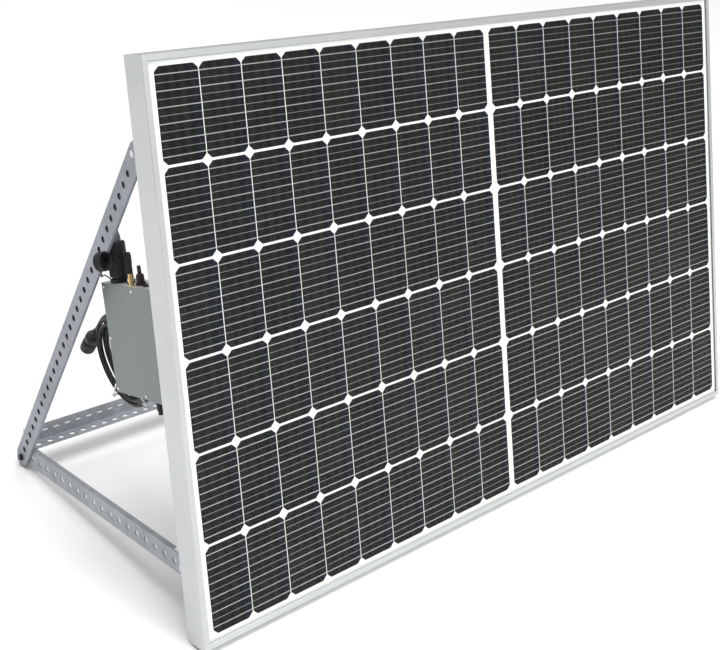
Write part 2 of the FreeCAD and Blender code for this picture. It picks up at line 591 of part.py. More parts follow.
def make_electronics():
    board_x = BOX_X1 - SHEET - 12.0
    y0, y1, z0, z1 = BOX_Y0 + 18, BOX_Y1 - 18, BOX_Z0 + 18, BOX_Z1 - 55
    add_tilted("circuit_board", box(board_x - 1.6, y0, z0, board_x, y1, z1))
    add_tilted("board_standoffs", *[rod((board_x, y, z), (1, 0, 0), 12.0, 3.0)
                                    for y in (y0 + 8, y1 - 8) for z in (z0 + 8, z1 - 8)])
    face = board_x - 1.6
    add_tilted("transformer", box(face - 30, -60, -275, face, -10, -225))
    add_tilted("capacitors", *[rod((face, y, z), (-1, 0, 0), 28.0, 9.0)
                               for y in (25, 50) for z in (-265, -240, -215)])
    fins = box(face - 4, -80, -195, face, 60, -150)
    for i in range(8):
        z = -193 + i * 5.6
        fins = fins.fuse(box(face - 24, -80, z, face - 3.9, 60, z + 2.0))
    add_tilted("heat_sink", fins.removeSplitter())


def make_connectors():
    top = BOX_Y1
    up, ac = (0, 1, 0), (AC_X, top, AC_Z)
    add_tilted("ac_socket", revolved([(12, -8), (12, 0), (20, 0), (20, 4), (15, 4), (15, 26),
                                      (9, 26), (9, -8)], ac, up))
    add_tilted("cap_strap_ring", revolved([(15.1, 4.1), (19.5, 4.1), (19.5, 7.5), (15.1, 7.5)],
                                          ac, up))
    ring = revolved([(16.3, 12), (19.3, 12), (19.8, 14), (19.8, 46), (19.0, 48), (16.3, 48)],
                    ac, up)
    ribs = [turned_rib(ac, i * 15.0) for i in range(24)]
    add_tilted("ac_coupling_ring", ring.cut(Part.makeCompound(ribs)))
    add_tilted("ac_plug_body", revolved([(0, 26.2), (16.2, 26.2), (16.2, 49), (18.5, 49),
                                         (18.8, 52), (18.8, 78), (17.5, 82), (13, 83), (0, 83)],
                                        ac, up))
    add_tilted("ac_gland_nut", revolved([(0, 83.1), (11.5, 83.1), (11.5, 90), (8.5, 106),
                                         (6.5, 109), (0, 109)], ac, up))
    sx, sz, sr = TOP_HOLES["signal"]
    add_tilted("signal_connector",
               revolved([(0, -6), (sr, -6), (sr, 0), (8.5, 0), (8.5, 6), (6.4, 7), (6.4, 38),
                         (7.2, 39), (7.2, 56), (5.5, 62), (0, 62)], (sx, top, sz), up))
    nx, nz, nr = TOP_HOLES["antenna"]
    add_tilted("antenna_connector",
               revolved([(0, -6), (nr, -6), (nr, 0), (6.0, 0), (6.0, 3), (3.6, 3.1),
                         (3.6, 8), (5.6, 8), (5.6, 16), (3.6, 16.1), (3.6, 24), (1.6, 24),
                         (1.6, 18), (0, 18)], (nx, top, nz), up))
    bx, bz, br = TOP_HOLES["bus"]
    add_tilted("bus_connector",
               revolved([(0, -6), (br, -6), (br, 0), (10, 0), (10, 5), (8, 6), (8, 19),
                         (6.5, 22), (4, 23), (4, 37), (3, 39), (0, 39)], (bx, top, bz), up))
    vx, vz, vr = TOP_HOLES["vent"]
    add_tilted("vent_plug", revolved([(0, -6), (vr, -6), (vr, 0), (7.5, 0), (7.5, 3), (6, 4.5),
                                      (0, 4.5)], (vx, top, vz), up))
    for pole in ("plus", "minus"):
        px, pz, pr = BOTTOM_HOLES[pole]
        inlet = [(0, -6), (pr, -6), (pr, 0), (8.5, 0), (8.5, 5), (7.5, 6), (7.5, 24), (6, 25),
                 (6, 33), (2.6, 33), (2.6, 20), (0, 20)]
        add_tilted("dc_inlet_" + pole, revolved(inlet, (px, BOX_Y0, pz), (0, -1, 0)))
    bore = CORD_R + 0.3
    add_tilted("cord_gland",
               revolved([(bore, -6), (GLAND_R, -6), (GLAND_R, 0), (11.5, 0), (11.5, 8), (10, 9),
                         (10, 17), (6.5, GLAND_L), (bore, GLAND_L)],
                        (BOX_X1, GLAND_Y, GLAND_Z), (1, 0, 0)))


def turned_rib(base, degrees):
    groove = rod((base[0] + 20.6, base[1] + 14, base[2]), (0, 1, 0), 32, 1.5)
    groove.rotate(V(*base), V(0, 1, 0), degrees)
    return groove


def make_dust_cap():
    """Open cup that hangs on a thin rubber strap beside the AC connector."""
    cup = revolved([(0, 0), (18, 0), (19.5, 1.5), (19.5, 17), (16.2, 17), (16.2, 2.6), (0, 2.6)],
                   CAP_AT, CAP_AXIS)
    add("dust_cap", cup)
    start = tilted_point(AC_X - 19.0, BOX_Y1 + 5.8, AC_Z + 2)
    x, y, z = CAP_AT
    strap = tube([(start.x, start.y, start.z), (start.x - 18, y - 34, z - 44),
                  (x + 10, y - 38, z - 20), (x + 1.0, y - 20.6, z + 4.0)], STRAP_R)
    add("cap_strap", strap)


# ---- the AC lead: a hank behind the box, with its plug ----------------------------------
PLUG = [(CORD_R + 0.2, -6), (7, -6), (8.5, 10), (15, 14), (16.5, 18), (16.5, 30), (14.5, 32),
        (14.5, 36), (16.8, 38), (16.8, 66), (13, 68), (13, 50), (CORD_R + 0.2, 50)]


def oval(shrink, side=0.0):
    """A solid disc of the hank's outline, made smaller all round by shrink and
    thicker by side on both faces."""
    middle = V(HANK_X0 - side, HANK_Y, HANK_Z)
    ring = Part.Ellipse(middle + V(0, 0, HANK_LONG - shrink),
                        middle + V(0, HANK_SHORT - shrink, 0), middle)
    depth = HANK_X1 - HANK_X0 + 2 * side
    disc = Part.Face(Part.Wire(ring.toShape())).extrude(V(depth, 0, 0))
    return turned(disc, HANK_TURN, (0, HANK_Y, HANK_Z))


def make_lead():
    exit_at = tilted_point(BOX_X1 + GLAND_L, GLAND_Y, GLAND_Z)
    add("ac_cord_lead_in", tube([(exit_at.x, exit_at.y, exit_at.z)] + LEAD_IN, CORD_R))
    add("ac_cord_tail", tube(TAIL, CORD_R))
    hank = oval(0).cut(oval(HANK_BAND))
    add("ac_cord_hank", hank)
    add("ac_lead_plug", revolved(PLUG, PLUG_AT, PLUG_AXIS))
    add("ac_lead_contacts", *contact_pins(PLUG_AT, PLUG_AXIS))
    jacket = oval(-TIE_T, TIE_T).cut(oval(HANK_BAND + TIE_T, TIE_T)).cut(hank)
    for angle in TIE_ANGLES:
        slab = box(HANK_X0 - 5, HANK_Y - 160, HANK_Z - TIE_W / 2, HANK_X1 + 5, HANK_Y - 30,
                   HANK_Z + TIE_W / 2)
        add("cable_ties", jacket.common(turned(slab, angle, (0, HANK_Y, HANK_Z))))
    y, z = ANCHOR
    half = ANCHOR_SIDE / 2
    add("cable_ties", box(BOX_X1, y - half, z - half, HANK_X0 - TIE_T, y + half, z + half))


def contact_pins(base, axis):
    frame = FreeCAD.Placement(V(*base), FreeCAD.Rotation(V(0, 0, 1), V(*axis)))
    pins = []
    for i in range(3):
        angle = math.radians(90 + 120 * i)
        pin = Part.makeCylinder(1.5, 12, V(8 * math.cos(angle), 8 * math.sin(angle), 50.05))
        pin.Placement = frame
        pins.append(pin)
    return pins


# ---- build -------------------------------------------------------------------------------
def build():
    make_frame()
    back = make_laminate()
    make_junction_boxes(back)
    make_clip("upper_clip", UPPER, WEB_X)
    make_clip("lower_clip", LOWER, WEB_X - PLATE - LAYER_GAP)
    mirror_screws = [mirrored(s) for s in parts["clip_screws"]]
    add("clip_screws", *mirror_screws)
    make_struts()
    make_base_bars()
    make_rear_rail()
    make_box()
    make_bracket()
    make_electronics()
    make_connectors()
    make_dust_cap()
    make_lead()


def export():
    os.makedirs("parts", exist_ok=True)
    for name, solids in parts.items():
        shapes = [place(s) for s in solids]
        shape = shapes[0] if len(shapes) == 1 else Part.makeCompound(shapes)
        bad = [s for s in shapes if not s.isValid() or len(s.Solids) != 1]
        if bad:
            print("CHECK", name, [(s.isValid(), len(s.Solids)) for s in bad])
        shape.exportStep("parts/" + name + ".step")
    print(len(parts), "nodes, lean", round(math.degrees(LEAN), 2))


build()
export()
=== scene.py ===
"""Looks of a framed solar panel on its folding prop stand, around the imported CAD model.

All places come from the frame: panel_point() turns a point of the panel's own frame
(X along the panel, Y up it, Z out of the glass, millimetres, zero at the middle of the
front) into the world's frame, in metres.
"""
import json
import math

import bmesh
import bpy
from mathutils import Matrix, Vector


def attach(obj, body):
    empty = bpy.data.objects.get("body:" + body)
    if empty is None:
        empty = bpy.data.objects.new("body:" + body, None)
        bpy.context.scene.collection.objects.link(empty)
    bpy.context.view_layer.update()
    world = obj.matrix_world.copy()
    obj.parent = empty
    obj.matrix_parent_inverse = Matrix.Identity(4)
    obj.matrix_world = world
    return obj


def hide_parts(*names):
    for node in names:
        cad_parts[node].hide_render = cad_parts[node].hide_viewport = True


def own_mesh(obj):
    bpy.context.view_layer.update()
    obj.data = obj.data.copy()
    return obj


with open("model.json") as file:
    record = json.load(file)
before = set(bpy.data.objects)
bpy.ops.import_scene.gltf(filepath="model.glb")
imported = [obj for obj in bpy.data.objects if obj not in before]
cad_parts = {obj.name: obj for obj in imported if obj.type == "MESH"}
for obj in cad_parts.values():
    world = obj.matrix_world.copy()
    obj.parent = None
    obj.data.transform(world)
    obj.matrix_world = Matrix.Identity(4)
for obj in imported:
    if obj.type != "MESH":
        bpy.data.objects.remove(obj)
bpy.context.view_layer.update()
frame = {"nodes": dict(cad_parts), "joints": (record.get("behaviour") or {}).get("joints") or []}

MM = 0.001
scene = bpy.context.scene

# ---- the panel's own frame ------------------------------------------------------------
JOINTS = {joint["name"]: joint for joint in frame["joints"]}
LOWER_Y, HINGE_BACK = -432.0, 90.0     # the lower hinges: place up the panel, depth behind it
LOWER = Vector(JOINTS["base_frame_hinge"]["pos_m"])
UPPER = Vector(JOINTS["left_strut_hinge"]["pos_m"])
RIGHT = Vector((1, 0, 0))
UP = Vector((0, UPPER.y - LOWER.y, UPPER.z - LOWER.z)).normalized()
OUT = RIGHT.cross(UP)
ORIGIN = Vector((0, LOWER.y, LOWER.z)) - UP * LOWER_Y * MM + OUT * HINGE_BACK * MM
PANEL = Matrix((RIGHT, UP, OUT)).transposed().to_4x4()
PANEL.translation = ORIGIN


def panel_point(x, y, z):
    return PANEL @ (Vector((x, y, z)) * MM)


# ---- camera ---------------------------------------------------------------------------
CAMERA_AT = (-1925.0, 678.0, 1884.5)
CAMERA_AIM = (-131.7, 216.7, 0.0)
CAMERA_ROLL = math.radians(-3.70)     # against the panel's upright edge
LENS, SENSOR = 60.18, 36.0            # millimetres
SHIFT = (-0.131, -0.197)              # small, so that other views hold the whole model
NEAR, FAR = 0.05, 60.0                # metres


def make_camera():
    camera = bpy.data.objects.new("camera", bpy.data.cameras.new("camera"))
    scene.collection.objects.link(camera)
    place = panel_point(*CAMERA_AT)
    forward = (panel_point(*CAMERA_AIM) - place).normalized()
    level = forward.cross(UP).normalized()
    above = level.cross(forward)
    side = level * math.cos(CAMERA_ROLL) + above * math.sin(CAMERA_ROLL)
    top = above * math.cos(CAMERA_ROLL) - level * math.sin(CAMERA_ROLL)
    pose = Matrix((side, top, -forward)).transposed().to_4x4()
    pose.translation = place
    camera.matrix_world = pose
    camera.data.sensor_width = SENSOR
    camera.data.lens = LENS
    camera.data.shift_x, camera.data.shift_y = SHIFT
    camera.data.clip_start, camera.data.clip_end = NEAR, FAR
    scene.camera = camera


make_camera()


# ---- the AC lead's route, in the panel's frame -----------------------------------------
CORD_D = 9.0
GLAND_END = (-739, -6.5, -223.9)
LEAD_IN = [(-711, -7, -223.9), (-689, -8, -241.3), (-681.6, -10, -272.4),
           (-692, -12.5, -311), (-713, -13.5, -356), (-731.5, -11.5, -400.5)]
TAIL = [(-746, -13, -481), (-744, -34.5, -508.9), (-744, -64.9, -540.7)]
HANK_Y, HANK_Z = -98.0, -411.0
HANK_LONG, HANK_SHORT = 119.0, 93.0
HANK_TURN = math.radians(35.0)
# the strand's place in the bundle at the start of each turn: X, and depth under the outline
LAYS = ((-736.2, 10.5), (-735.0, 23.0), (-743.0, 32.5), (-752.5, 27.0), (-753.0, 15.0),
        (-747.5, 5.0))
PER_TURN = 16
FIRST_ANGLE, LAST_ANGLE = math.radians(226.0), math.radians(204.0)
REAR = math.radians(150.0)
SAGGING_TURN, SAG = 2, 7.0      # the innermost turn, and how far it falls from the others
SAG_FROM = 0.3                  # cosine of the angle from REAR where the sag begins


def on_oval(x, inset, angle):
    """A point of the hank's outline, made smaller by inset. The angle starts at the
    front end of the long axis and turns down towards the rear."""
    reach = 1 / math.cos(math.pi / PER_TURN)      # a spline runs inside its own corners
    along = (HANK_LONG - inset) * math.cos(angle) * reach
    across = (HANK_SHORT - inset) * math.sin(angle) * reach
    sin, cos = math.sin(HANK_TURN), math.cos(HANK_TURN)
    return (x, HANK_Y - sin * along - cos * across, HANK_Z + cos * along - sin * across)


def hank_points():
    points = []
    laps = len(LAYS) - 1 + (FIRST_ANGLE - LAST_ANGLE) / math.tau
    for step in range(int(laps * PER_TURN) + 1):
        lap = step / PER_TURN
        turn = min(int(lap), len(LAYS) - 2)
        share = min(lap - turn, 1.0)
        (x0, inset0), (x1, inset1) = LAYS[turn], LAYS[turn + 1]
        angle = FIRST_ANGLE - math.tau * lap
        inset = inset0 + (inset1 - inset0) * share
        if turn == SAGGING_TURN:
            inset += SAG * max(0.0, math.cos(angle - REAR) - SAG_FROM) / (1 - SAG_FROM)
        points.append(on_oval(x0 + (x1 - x0) * share, inset, angle))
    return points


def spline_curve(name, points, radius):
    """A round cord on a smooth NURBS spline through the points' corners."""
    data = bpy.data.curves.new(name, "CURVE")
    data.dimensions = "3D"
    data.bevel_depth = radius * MM
    data.bevel_resolution = 3
    data.resolution_u = 5
    spline = data.splines.new("NURBS")
    spline.points.add(len(points) - 1)
    for point, place in zip(spline.points, points):
        point.co = (*panel_point(*place), 1.0)
    spline.order_u = 3
    spline.use_endpoint_u = True
    data.use_fill_caps = True
    piece = bpy.data.objects.new(name, data)
    scene.collection.objects.link(piece)
    return piece


# ---- material kit ---------------------------------------------------------------------
class Paint:
    """A Principled material with short ways to build its nodes. The scale of a noise is
    in patches to the metre."""

    def __init__(self, name, colour, roughness, metallic=0.0, specular=0.5):
        self.material = bpy.data.materials.new(name)
        self.material.use_nodes = True
        self.tree = self.material.node_tree
        self.shader = self.tree.nodes["Principled BSDF"]
        self.set("Base Color", (*colour, 1.0))
        self.set("Roughness", roughness)
        self.set("Metallic", metallic)
        self.set("Specular IOR Level", specular)
        self.place = self.node("ShaderNodeTexCoord").outputs["Object"]

    def node(self, kind, **values):
        made = self.tree.nodes.new(kind)
        for key, value in values.items():
            setattr(made, key, value)
        return made

    def feed(self, socket, value):
        if isinstance(value, bpy.types.NodeSocket):
            self.tree.links.new(value, socket)
        else:
            socket.default_value = value

    def set(self, name, value):
        self.feed(self.shader.inputs[name], value)

    def math(self, kind, a, b=0.0, c=0.0):
        made = self.node("ShaderNodeMath", operation=kind)
        for socket, value in zip(made.inputs, (a, b, c)):
            self.feed(socket, value)
        return made.outputs[0]

    def in_panel(self):
        """The place in the panel's frame, in metres."""
        made = self.node("ShaderNodeMapping", vector_type="POINT")
        back = PANEL.inverted()
        self.feed(made.inputs["Vector"], self.place)
        self.feed(made.inputs["Location"], back.translation)
        self.feed(made.inputs["Rotation"], back.to_euler())
        return made.outputs[0]

    def stretched(self, place, scale):
        made = self.node("ShaderNodeMapping", vector_type="POINT")
        self.feed(made.inputs["Vector"], place)
        self.feed(made.inputs["Scale"], scale)
        return made.outputs[0]

    def split(self, place):
        made = self.node("ShaderNodeSeparateXYZ")
        self.feed(made.inputs[0], place)
        return made.outputs

    def noise(self, scale, detail=3.0, rough=0.5, place=None):
        made = self.node("ShaderNodeTexNoise")
        self.feed(made.inputs["Vector"], self.place if place is None else place)
        made.inputs["Scale"].default_value = scale
        made.inputs["Detail"].default_value = detail
        made.inputs["Roughness"].default_value = rough
        return made.outputs["Fac"]

    def flakes(self, scale):
        made = self.node("ShaderNodeTexVoronoi", feature="F1")
        self.feed(made.inputs["Vector"], self.place)
        made.inputs["Scale"].default_value = scale
        return made.outputs["Color"]

    def ramp(self, value, *stops):
        made = self.node("ShaderNodeValToRGB")
        self.feed(made.inputs[0], value)
        points = made.color_ramp.elements
        while len(points) < len(stops):
            points.new(0.5)
        for point, (at, colour) in zip(points, stops):
            point.position = at
            point.color = (*colour, 1.0)
        return made.outputs[0]

    def span(self, value, low_in, high_in, low_out, high_out):
        made = self.node("ShaderNodeMapRange")
        for socket, number in zip(made.inputs, (value, low_in, high_in, low_out, high_out)):
            self.feed(socket, number)
        return made.outputs[0]

    def mix(self, share, a, b):
        """Sockets 6, 7 and output 2 are the Mix node's colours."""
        made = self.node("ShaderNodeMix", data_type="RGBA", blend_type="MIX")
        self.feed(made.inputs[0], share)
        self.feed(made.inputs[6], (*a, 1.0) if isinstance(a, tuple) else a)
        self.feed(made.inputs[7], (*b, 1.0) if isinstance(b, tuple) else b)
        return made.outputs[2]

    def scaled(self, colour, factor):
        made = self.node("ShaderNodeVectorMath", operation="SCALE")
        self.feed(made.inputs[0], colour)
        self.feed(made.inputs["Scale"], factor)
        return made.outputs[0]

    def bump(self, height, strength, distance):
        made = self.node("ShaderNodeBump")
        made.inputs["Strength"].default_value = strength
        made.inputs["Distance"].default_value = distance
        self.feed(made.inputs["Height"], height)
        self.set("Normal", made.outputs[0])


def grey(level):
    return (level, level, level)


def times(colour, factor):
    return tuple(min(1.0, c * factor) for c in colour)


# ---- materials ------------------------------------------------------------------------
def anodised(name, along):
    """Satin anodised aluminium with a fine die-drawn grain along the given axis."""
    paint = Paint(name, (0.60, 0.62, 0.62), 0.4, metallic=0.6)
    fine, drawn = 900.0, 6.0
    scale = {"x": (drawn, fine, fine), "y": (fine, drawn, fine)}[along]
    grain = paint.noise(1.0, 2.0, 0.6, paint.stretched(paint.in_panel(), scale))
    cloud = paint.noise(5.0, 3.0, 0.6)
    tone = paint.ramp(cloud, (0.3, (0.545, 0.565, 0.56)), (0.7, (0.60, 0.615, 0.61)))
    paint.set("Base Color", paint.mix(paint.span(grain, 0.3, 0.7, 0.0, 0.35), tone,
                                      (0.48, 0.50, 0.50)))
    paint.set("Roughness", paint.span(grain, 0.3, 0.7, 0.30, 0.44))
    paint.bump(grain, 0.12, 0.0002)
    return paint.material


def galvanised(name, tint):
    """Zinc-coated strip: faint spangle, fine roll marks and cloudy patches."""
    paint = Paint(name, tint, 0.45, metallic=0.4)
    spangle = paint.node("ShaderNodeRGBToBW")
    paint.feed(spangle.inputs[0], paint.flakes(70.0))
    flake = spangle.outputs[0]
    cloud = paint.noise(9.0, 4.0, 0.6)
    fine = paint.noise(420.0, 2.0, 0.6)
    tone = paint.mix(paint.span(cloud, 0.35, 0.65, 0.0, 1.0), times(tint, 0.86),
                     times(tint, 1.1))
    paint.set("Base Color", paint.scaled(tone, paint.span(flake, 0.2, 0.8, 0.93, 1.07)))
    paint.set("Roughness", paint.math("MULTIPLY_ADD", flake, 0.14,
                                      paint.span(fine, 0.3, 0.7, 0.35, 0.49)))
    paint.bump(fine, 0.10, 0.0003)
    return paint.material


def moulded(name, colour, roughness, speck=0.25):
    """Moulded plastic with a fine spark texture and faint flow marks."""
    paint = Paint(name, colour, roughness, specular=0.35)
    fine = paint.noise(1500.0, 3.0, 0.7)
    flow = paint.noise(35.0, 3.0, 0.6)
    lighter = tuple(min(1.0, c * 1.6 + 0.004) for c in colour)
    paint.set("Base Color", paint.ramp(flow, (0.3, times(colour, 0.7)), (0.72, lighter)))
    paint.set("Roughness", paint.span(fine, 0.3, 0.7, roughness - 0.09, roughness + 0.12))
    paint.bump(fine, speck, 0.00025)
    return paint.material


def coated(name, colour, roughness):
    """Powder-coated or mill-finished sheet: soft orange peel and a cloudy tone."""
    paint = Paint(name, colour, roughness, metallic=0.15)
    peel = paint.noise(700.0, 2.0, 0.5)
    cloud = paint.noise(11.0, 4.0, 0.65)
    paint.set("Base Color", paint.mix(paint.span(cloud, 0.3, 0.7, 0.0, 1.0),
                                      times(colour, 0.88), times(colour, 1.1)))
    paint.set("Roughness", paint.span(cloud, 0.3, 0.7, roughness - 0.08, roughness + 0.06))
    paint.bump(peel, 0.15, 0.0002)
    return paint.material


def bright_metal(name, colour, roughness, wear=0.12):
    """Plated or tinned metal with small scratches."""
    paint = Paint(name, colour, roughness, metallic=0.9)
    scratch = paint.noise(260.0, 4.0, 0.7)
    paint.set("Base Color", paint.mix(paint.span(scratch, 0.35, 0.7, 0.0, 1.0), colour,
                                      times(colour, 0.72)))
    paint.set("Roughness", paint.span(scratch, 0.3, 0.7, roughness - wear, roughness + wear))
    paint.bump(scratch, 0.1, 0.0002)
    return paint.material


CELL_PITCH_X, CELL_PITCH_Y, MID_GAP = 92.2, 182.0, 14.0
FINGER_PITCH, FINGER_SHARE = 1.5, 0.07     # and the share of the pitch that is silver
FINGER_TONE = (0.17, 0.17, 0.165)
BAND_PITCH = 23.1               # painted highlight: the fingers catch the light in soft upright bands
BAND_MEAN, BAND_SWING = 0.65, 0.35
OLIVE, BLUE = (0.0120, 0.0126, 0.0108), (0.0078, 0.0088, 0.0142)
OLIVE_TO, BLUE_FROM = 0.62, 0.84     # shares of a cell's width
ROW_STEP = 37.0                 # keeps the cells' numbers apart from row to row


def cell_paint():
    """Mono-crystalline half-cells: charcoal with an olive cast that turns blue towards
    one side of each cell, crossed by fine upright silver fingers with a painted highlight in
    soft upright bands."""
    paint = Paint("cell_silicon", (0.012, 0.012, 0.011), 0.34, specular=0.0)
    x, y = paint.split(paint.in_panel())[:2]
    offset = paint.math("SUBTRACT", paint.math("ABSOLUTE", x), MID_GAP / 2 * MM)
    column = paint.math("DIVIDE", offset, CELL_PITCH_X * MM)
    side = paint.math("SIGN", x)
    across = paint.math("FRACT", paint.math("MULTIPLY", column, side))
    row = paint.math("FLOOR", paint.math("DIVIDE", y, CELL_PITCH_Y * MM))
    number = paint.math("MULTIPLY_ADD", row, ROW_STEP, paint.math(
        "MULTIPLY", paint.math("FLOOR", column), side))
    shade = paint.node("ShaderNodeTexWhiteNoise", noise_dimensions="1D")
    paint.feed(shade.inputs["W"], number)
    base = paint.ramp(across, (0.0, OLIVE), (OLIVE_TO, OLIVE), (BLUE_FROM, BLUE), (1.0, BLUE))
    cloud = paint.noise(14.0, 4.0, 0.6)
    level = paint.math("MULTIPLY", paint.span(shade.outputs[0], 0.0, 1.0, 0.88, 1.12),
                       paint.span(cloud, 0.3, 0.7, 0.85, 1.2))
    finger = paint.math("FRACT", paint.math("DIVIDE", x, FINGER_PITCH * MM))
    on_finger = paint.math("LESS_THAN", finger, FINGER_SHARE)
    # painted highlight: the fingers' silver is drawn brighter and dimmer in soft upright bands
    wave = paint.math("SINE", paint.math("MULTIPLY", x, math.tau / (BAND_PITCH * MM)))
    finger_glint_bands = paint.math("MULTIPLY_ADD", wave, BAND_SWING, BAND_MEAN)
    share = paint.math("MULTIPLY", on_finger, finger_glint_bands)
    paint.set("Base Color", paint.mix(share, paint.scaled(base, level), FINGER_TONE))
    paint.set("Roughness", paint.span(cloud, 0.3, 0.7, 0.30, 0.42))
    return paint.material


def backsheet_paint():
    paint = Paint("white_backsheet", (0.86, 0.86, 0.84), 0.55)
    weave = paint.noise(900.0, 2.0, 0.6)
    cloud = paint.noise(7.0, 3.0, 0.5)
    paint.set("Base Color", paint.ramp(cloud, (0.3, (0.84, 0.84, 0.815)),
                                       (0.7, (0.89, 0.89, 0.875))))
    paint.bump(weave, 0.12, 0.0002)
    return paint.material


GLOSS = 0.3                     # of the anti-glare glass seen along its face
FLAT_GLOSS = 0.003              # and seen squarely
GLOSS_FALL = 5.0                # power by which it fades between the two


def glass_paint():
    """Tempered glass on the cells: clear, with a weak anti-glare gloss."""
    paint = Paint("solar_glass", (0.90, 0.92, 0.92), 0.2, metallic=1.0)
    ripple = paint.noise(330.0, 2.0, 0.5)
    paint.set("Roughness", paint.span(ripple, 0.3, 0.7, 0.18, 0.28))
    clear = paint.node("ShaderNodeBsdfTransparent")
    clear.inputs["Color"].default_value = (0.985, 0.992, 0.99, 1.0)
    both = paint.node("ShaderNodeMixShader")
    edge_on = paint.node("ShaderNodeLayerWeight")
    slant = paint.math("POWER", edge_on.outputs["Facing"], GLOSS_FALL)
    paint.feed(both.inputs[0], paint.math("MULTIPLY_ADD", slant, GLOSS, FLAT_GLOSS))
    paint.tree.links.new(clear.outputs[0], both.inputs[1])
    paint.tree.links.new(paint.shader.outputs[0], both.inputs[2])
    out = next(n for n in paint.tree.nodes if n.type == "OUTPUT_MATERIAL")
    paint.tree.links.new(both.outputs[0], out.inputs["Surface"])
    return paint.material


def jacket_paint():
    """Satin rubber cable jacket with a faint extrusion mottle and dust."""
    paint = Paint("cable_jacket", (0.01, 0.01, 0.012), 0.42, specular=0.35)
    fine = paint.noise(900.0, 2.0, 0.6)
    dust = paint.noise(60.0, 4.0, 0.7)
    paint.set("Base Color", paint.ramp(dust, (0.35, (0.006, 0.006, 0.008)),
                                       (0.8, (0.020, 0.020, 0.023))))
    paint.set("Roughness", paint.span(dust, 0.3, 0.7, 0.34, 0.5))
    paint.bump(fine, 0.12, 0.0002)
    return paint.material


MATERIALS = {
    "rail_x": anodised("anodised_long_rails", "x"),
    "rail_y": anodised("anodised_side_rails", "y"),
    "glass": glass_paint(),
    "cell": cell_paint(),
    "backsheet": backsheet_paint(),
    "ribbon": bright_metal("tinned_ribbon", (0.64, 0.64, 0.63), 0.42, 0.08),
    "steel": galvanised("galvanised_steel", (0.32, 0.335, 0.37)),
    "rail_steel": galvanised("galvanised_rail", (0.37, 0.39, 0.42)),
    "zinc": bright_metal("zinc_plated", (0.72, 0.72, 0.70), 0.34),
    "dark_zinc": bright_metal("blackened_bolt", (0.07, 0.07, 0.075), 0.4),
    "box": coated("box_sheet", (0.55, 0.57, 0.57), 0.42),
    "cover": coated("cover_sheet", (0.205, 0.230, 0.230), 0.46),
    "screw": bright_metal("cover_screw", (0.92, 0.92, 0.90), 0.3),
    "black": moulded("black_polyamide", (0.011, 0.012, 0.014), 0.4),
    "soft": moulded("soft_rubber", (0.010, 0.011, 0.012), 0.55, 0.15),
    "red": moulded("dark_red_plastic", (0.030, 0.010, 0.013), 0.4),
    "smoke": moulded("smoky_tip", (0.10, 0.105, 0.11), 0.3),
    "seal": moulded("foam_seal", (0.03, 0.03, 0.03), 0.8),
    "board": moulded("board_laminate", (0.03, 0.16, 0.07), 0.4),
    "parts": moulded("component_resin", (0.05, 0.05, 0.06), 0.5),
    "fins": anodised("black_heat_sink", "y"),
    "brass": bright_metal("gilt_brass", (0.95, 0.68, 0.30), 0.24),
    "tie": moulded("white_nylon", (0.82, 0.82, 0.80), 0.4),
    "jacket": jacket_paint(),
}

NODE_PAINT = {
    "frame_left_rail": "rail_y", "frame_right_rail": "rail_y", "frame_top_rail": "rail_x",
    "frame_bottom_rail": "rail_x", "corner_keys": "zinc", "edge_seal": "seal",
    "solar_cells": "cell", "cell_ribbons": "ribbon", "junction_box_bodies": "black",
    "junction_box_lids": "black", "bypass_diodes": "parts", "clip_screws": "zinc",
    "left_upper_clip": "steel", "right_upper_clip": "steel", "left_lower_clip": "steel",
    "right_lower_clip": "steel", "left_strut": "steel", "right_strut": "steel",
    "left_foot_bolt": "dark_zinc", "right_foot_bolt": "dark_zinc", "left_hinge_bolts": "zinc",
    "right_hinge_bolts": "zinc", "left_base_bar": "rail_steel", "right_base_bar": "rail_steel",
    "rail_bolts": "zinc", "rear_rail": "rail_steel", "inverter_housing": "box",
    "inverter_cover": "cover", "cover_screws": "screw", "bracket_screws": "zinc",
    "inverter_bracket": "steel", "circuit_board": "board", "board_standoffs": "brass",
    "transformer": "parts", "capacitors": "parts", "heat_sink": "fins", "ac_socket": "black",
    "cap_strap_ring": "soft", "ac_coupling_ring": "black", "ac_plug_body": "black",
    "ac_gland_nut": "smoke", "signal_connector": "black", "antenna_connector": "brass",
    "bus_connector": "red", "vent_plug": "black", "dc_inlet_plus": "red",
    "dc_inlet_minus": "black", "cord_gland": "black", "ac_lead_contacts": "brass",
}
for node_name, paint_name in NODE_PAINT.items():
    data = frame["nodes"][node_name].data
    data.materials.clear()
    data.materials.append(MATERIALS[paint_name])


# ---- mesh kit -------------------------------------------------------------------------
def linked(name, data, paint_name):
    piece = bpy.data.objects.new(name, data)
    scene.collection.objects.link(piece)
    data.materials.append(MATERIALS[paint_name])
    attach(piece, "root")
    return piece


def settled(name, mesh, paint_name):
    """Moves a bmesh from the panel's frame (mm) to the world's and makes a piece of it."""
    for vertex in mesh.verts:
        vertex.co = panel_point(*vertex.co)
    data = bpy.data.meshes.new(name)
    mesh.to_mesh(data)
    mesh.free()
    return linked(name, data, paint_name)


def panel_box(name, lows, highs, bevel, paint_name):
    """A rounded-edge slab given by two corners in the panel's frame."""
    mesh = bmesh.new()
    bmesh.ops.create_cube(mesh, size=1.0)
    size = Vector(highs) - Vector(lows)
    middle = (Vector(highs) + Vector(lows)) / 2
    for vertex in mesh.verts:
        vertex.co = Vector(vertex.co[i] * size[i] + middle[i] for i in range(3))
    bmesh.ops.bevel(mesh, geom=mesh.edges[:], offset=bevel, segments=2, affect="EDGES",
                    profile=0.5)
    return settled(name, mesh, paint_name)


